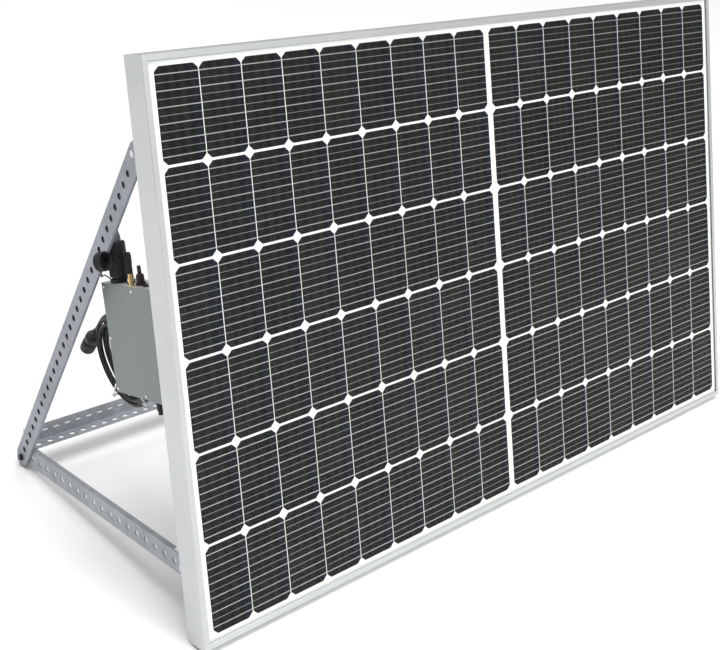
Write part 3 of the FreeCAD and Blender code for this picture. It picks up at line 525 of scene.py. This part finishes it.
# ---- the glass and the backsheet --------------------------------------------------------
MODULE_W, MODULE_H, SHEET_INSET = 1722.0, 1134.0, 3.0
GLASS_Z, GLASS_EDGE = (-5.6, -1.9), 0.6      # the glass with its film, behind the lips
BACK_Z, BACK_EDGE = (-6.75, -5.95), 0.15     # the rear film with the backsheet


def make_laminate():
    """One clear sheet stands for the glass and its film, one for the film and backsheet."""
    w, h = MODULE_W / 2 - SHEET_INSET, MODULE_H / 2 - SHEET_INSET
    glass = panel_box("glass_sheet", (-w, -h, GLASS_Z[0]), (w, h, GLASS_Z[1]), GLASS_EDGE,
                      "glass")
    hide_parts("front_glass", "front_encapsulant")
    back = panel_box("backsheet_film", (-w, -h, BACK_Z[0]), (w, h, BACK_Z[1]), BACK_EDGE,
                     "backsheet")
    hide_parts("rear_encapsulant", "backsheet")


make_laminate()

# ---- turned pieces and blocks -----------------------------------------------------------
SHARP = 0.6                     # radians between two faces that meet in a hard edge
PLAIN_SIDES = 48                # of a turned piece without grooves
RIB_STEPS, GROOVE_STEPS = 6, 2  # sides per rib, and how many of them are the groove


def finished(name, mesh, paint_name):
    """A piece from a bmesh in the panel's frame (mm), smooth but for its hard edges."""
    bmesh.ops.recalc_face_normals(mesh, faces=mesh.faces[:])
    for face in mesh.faces:
        face.smooth = True
    for edge in mesh.edges:
        edge.smooth = not edge.is_manifold or edge.calc_face_angle() < SHARP
    return settled(name, mesh, paint_name)


def join_rings(mesh, rings):
    """Faces between each ring of corners and the next, and from the last to the first."""
    for ring, after in zip(rings, rings[1:] + rings[:1]):
        for i in range(len(ring)):
            j = (i + 1) % len(ring)
            mesh.faces.new((ring[i], ring[j], after[j], after[i]))


def turned_piece(name, profile, base, axis, paint_name, slot, ribs=0, ribbed=(), depth=0.0):
    """A turned piece: profile is a closed list of (radius, height) along axis. Between
    the heights in ribbed, grooves of that depth run along it."""
    mesh = bmesh.new()
    axis = Vector(axis).normalized()
    side = axis.orthogonal().normalized()
    other = axis.cross(side)
    count = ribs * RIB_STEPS if ribs else PLAIN_SIDES
    rings = []
    for radius, height in profile:
        in_ribs = bool(ribbed) and ribbed[0] <= height <= ribbed[1]
        ring = []
        for i in range(count):
            angle = math.tau * i / count
            cut = depth if in_ribs and i % RIB_STEPS < GROOVE_STEPS else 0.0
            out = side * math.cos(angle) + other * math.sin(angle)
            ring.append(mesh.verts.new(Vector(base) + axis * height + out * (radius - cut)))
        rings.append(ring)
    join_rings(mesh, rings)
    return finished(name, mesh, paint_name)


def box_in(mesh, middle, size, directions, bevel):
    """Adds a small rounded block to a bmesh. directions are its three unit vectors."""
    made = bmesh.ops.create_cube(mesh, size=1.0)["verts"]
    for vertex in made:
        place = Vector(middle)
        for direction, length, part in zip(directions, size, vertex.co):
            place += Vector(direction) * length * part
        vertex.co = place
    edges = dict.fromkeys(edge for vertex in made for edge in vertex.link_edges)
    bmesh.ops.bevel(mesh, geom=list(edges), offset=bevel, segments=2, affect="EDGES")


# ---- the AC lead and its plug -----------------------------------------------------------
PLUG_AT, PLUG_AXIS = (-744.0, -58.0, -533.5), (0.0, -0.69, -0.724)
BORE = CORD_D / 2 + 0.2
PLUG = [(BORE, -6), (6.4, -6), (7.0, -5.2), (7.2, -3), (6.6, -2.6), (6.6, -1.4), (7.5, -1),
        (7.8, 2), (7.1, 2.4), (7.1, 3.6), (8.1, 4), (8.4, 8), (9.5, 10.5), (14.0, 13.2),
        (15.2, 14.6), (16.0, 17), (16.4, 18.5), (16.4, 29.5), (16.0, 30.5), (14.6, 31.5),
        (14.6, 36), (16.2, 37.6), (16.7, 38.5), (16.7, 64.6), (16.2, 65.8), (15.0, 66.4),
        (13.4, 66.4), (13.1, 65.6), (13.1, 50), (BORE, 50)]
PLUG_CORE = [(0, 50.2), (9.6, 50.2), (10.2, 50.8), (10.2, 59.0), (9.6, 59.8), (9.0, 59.8),
             (9.0, 51.2), (0, 51.2)]
PLUG_RIBS = {"ribs": 16, "ribbed": (38.0, 65.0), "depth": 1.1}


def make_plug():
    plug = turned_piece("lead_plug", PLUG, PLUG_AT, PLUG_AXIS, "black", "black_plastic",
                        **PLUG_RIBS)
    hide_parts("ac_lead_plug")
    insert = turned_piece("lead_plug_insert", PLUG_CORE, PLUG_AT, PLUG_AXIS, "smoke",
                          "black_plastic")
    return plug, insert


def make_lead():
    points = [GLAND_END, *LEAD_IN, *hank_points(), *TAIL]
    lead = spline_curve("ac_lead", points, CORD_D / 2)
    lead.data.materials.append(MATERIALS["jacket"])
    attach(lead, "root")
    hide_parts("ac_cord_lead_in", "ac_cord_hank", "ac_cord_tail")
    make_plug()


make_lead()

# ---- ties -------------------------------------------------------------------------------
TIE_ANGLES = (26.0, -51.0, -85.0)     # from straight down, towards the rear
TIE_W, TIE_T = 4.6, 1.2
TIE_SIDES, TIE_POWER = 40, 3.2        # the strap's outline is between an oval and a square
BUNDLE = (-758.0, -730.0, 36.0)       # lowest and highest X, and the depth of the bundle
HEAD_SIZE, HEAD_OUT, HEAD_IN = (3.6, 5.6, 4.8), 1.6, 1.0
TAIL_SIZE, TAIL_OUT, TAIL_UP = (TIE_T, TIE_W * 0.8, 4.4), 2.2, 4.4
HEAD_LEAN = 0.7                       # sideways for each millimetre outwards
ANCHOR_X = (-763.0, -758.4)
ANCHOR_Y, ANCHOR_Z, ANCHOR_HALF = -107.0, -306.0, 6.0


def radius_towards(angle):
    """The hank's outline along a line from its middle, straight down at angle 0."""
    y, z = -math.cos(angle), -math.sin(angle)
    along = -y * math.sin(HANK_TURN) + z * math.cos(HANK_TURN)
    across = -y * math.cos(HANK_TURN) - z * math.sin(HANK_TURN)
    return 1 / math.hypot(along / HANK_LONG, across / HANK_SHORT)


def make_tie(number, degrees):
    """A strap of white nylon pulled round the bundle, with its square head and cut tail."""
    angle = math.radians(degrees)
    outward = Vector((0, -math.cos(angle), -math.sin(angle)))
    along = Vector((0, -math.sin(angle), math.cos(angle)))
    sideways = Vector((1, 0, 0))
    x0, x1, deep = BUNDLE
    half_x, half_r = (x1 - x0) / 2, deep / 2
    middle = Vector(((x0 + x1) / 2, HANK_Y, HANK_Z)) + outward * (radius_towards(angle) - half_r)
    mesh = bmesh.new()
    rings = []
    for i in range(TIE_SIDES):
        turn = math.tau * i / TIE_SIDES
        cos, sin = math.cos(turn), math.sin(turn)
        square = (abs(cos) ** TIE_POWER + abs(sin) ** TIE_POWER) ** (-1 / TIE_POWER)
        ring = []
        for grow, shift in ((0, -0.5), (0, 0.5), (TIE_T, 0.5), (TIE_T, -0.5)):
            place = (middle + sideways * cos * square * (half_x + grow)
                     + outward * sin * square * (half_r + grow) + along * shift * TIE_W)
            ring.append(mesh.verts.new(place))
        rings.append(ring)
    join_rings(mesh, rings)
    lean = (outward - sideways * HEAD_LEAN).normalized()
    up = lean.cross(along)
    corner = middle + outward * (half_r - HEAD_IN) - sideways * (half_x - HEAD_IN)
    box_in(mesh, corner + lean * HEAD_OUT, HEAD_SIZE, (lean, along, up), 0.4)
    box_in(mesh, corner + lean * TAIL_OUT + up * TAIL_UP, TAIL_SIZE, (lean, along, up), 0.2)
    return finished(f"cable_tie_{number}", mesh, "tie")


def make_ties():
    ties = [make_tie(number, degrees) for number, degrees in enumerate(TIE_ANGLES, 1)]
    panel_box("tie_anchor", (ANCHOR_X[0], ANCHOR_Y - ANCHOR_HALF, ANCHOR_Z - ANCHOR_HALF),
              (ANCHOR_X[1], ANCHOR_Y + ANCHOR_HALF, ANCHOR_Z + ANCHOR_HALF), 0.8, "tie")
    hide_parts("cable_ties")


make_ties()

# ---- dust cap and strap -----------------------------------------------------------------
CAP_AT, CAP_AXIS = (-865.0, 166.0, -236.0), (0.42, 0.2, 0.88)
CAP = [(0, 0), (16.5, 0), (18.4, 0.7), (19.3, 2.2), (19.4, 4.5), (18.7, 5.0), (18.7, 6.2),
       (19.4, 6.7), (19.4, 15.6), (18.8, 16.8), (16.9, 17.0), (16.2, 16.2), (16.2, 12.6),
       (15.4, 12.0), (16.2, 11.4), (16.2, 9.0), (15.4, 8.4), (16.2, 7.8), (16.2, 3.4),
       (15.4, 2.6), (0, 2.6)]
CAP_RIBS = {"ribs": 20, "ribbed": (6.7, 15.8), "depth": 0.7}
STRAP = [(-816, 110.7, -286.2), (-834, 132, -280), (-855, 128, -256), (-864, 145.4, -232)]
STRAP_R = 1.4


def make_dust_cap():
    """The soft cap that hangs by its strap in the way of the strut, and its strap."""
    cap = turned_piece("rubber_dust_cap", CAP, CAP_AT, CAP_AXIS, "soft", "rubber_strap",
                       **CAP_RIBS)
    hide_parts("dust_cap")
    rope = spline_curve("cap_strap_line", STRAP, STRAP_R)
    bpy.context.view_layer.update()
    seen = rope.evaluated_get(bpy.context.evaluated_depsgraph_get())
    data = bpy.data.meshes.new_from_object(seen)
    bpy.data.objects.remove(rope)
    strap = linked("rubber_strap", data, "soft")
    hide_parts("cap_strap")
    for piece in (cap, strap):
        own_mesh(piece)


make_dust_cap()


# ---- floor and lights, in metres ------------------------------------------------------
FLOOR_HALF, FLOOR_Z = 14.0, -0.0005
WORLD_LIGHT = 0.27
# name, place, what it points at, watts, width
LAMPS = (("key", (0.6, -4.6, 4.0), (0, 0, 0.5), 190.0, 2.6),
         ("left_high", (-1.7, -0.2, 1.9), (-0.9, 0, 1.0), 4.5, 0.6),
         ("rear", (-1.5, 3.6, 3.0), (0, 0, 0.4), 40.0, 2.2))
OVERHEAD, OVERHEAD_ANGLE, OVERHEAD_TILT = 2.5, math.radians(36.0), math.radians(10.0)


def place_light(name, lamp):
    light = bpy.data.objects.new(name, lamp)
    scene.collection.objects.link(light)
    return light


def make_studio():
    data = bpy.data.meshes.new("studio_floor")
    corners = [(x * FLOOR_HALF, y * FLOOR_HALF, FLOOR_Z)
               for x, y in ((-1, -1), (1, -1), (1, 1), (-1, 1))]
    data.from_pydata(corners, [], [(0, 1, 2, 3)])
    floor = bpy.data.objects.new("studio_floor", data)
    scene.collection.objects.link(floor)
    pale = Paint("studio_floor", grey(0.88), 0.9)
    pale.set("Base Color", pale.ramp(pale.noise(0.8), (0.3, grey(0.87)), (0.7, grey(0.89))))
    data.materials.append(pale.material)
    world = bpy.data.worlds.new("studio")
    scene.world = world
    world.use_nodes = True
    background = world.node_tree.nodes["Background"]
    background.inputs["Color"].default_value = (1.0, 1.0, 1.0, 1.0)
    background.inputs["Strength"].default_value = WORLD_LIGHT
    for name, place, aim, watts, width in LAMPS:
        lamp = bpy.data.lights.new(name, "AREA")
        lamp.energy = watts
        lamp.size = width
        light = place_light(name, lamp)
        light.location = place
        toward = Vector(aim) - Vector(place)
        light.rotation_euler = toward.to_track_quat("-Z", "Y").to_euler()
    overhead = bpy.data.lights.new("overhead", "SUN")
    overhead.energy = OVERHEAD
    overhead.angle = OVERHEAD_ANGLE
    light = place_light("overhead", overhead)
    light.rotation_euler = (OVERHEAD_TILT, 0.0, 0.0)
    scene.view_settings.view_transform = "Standard"


make_studio()
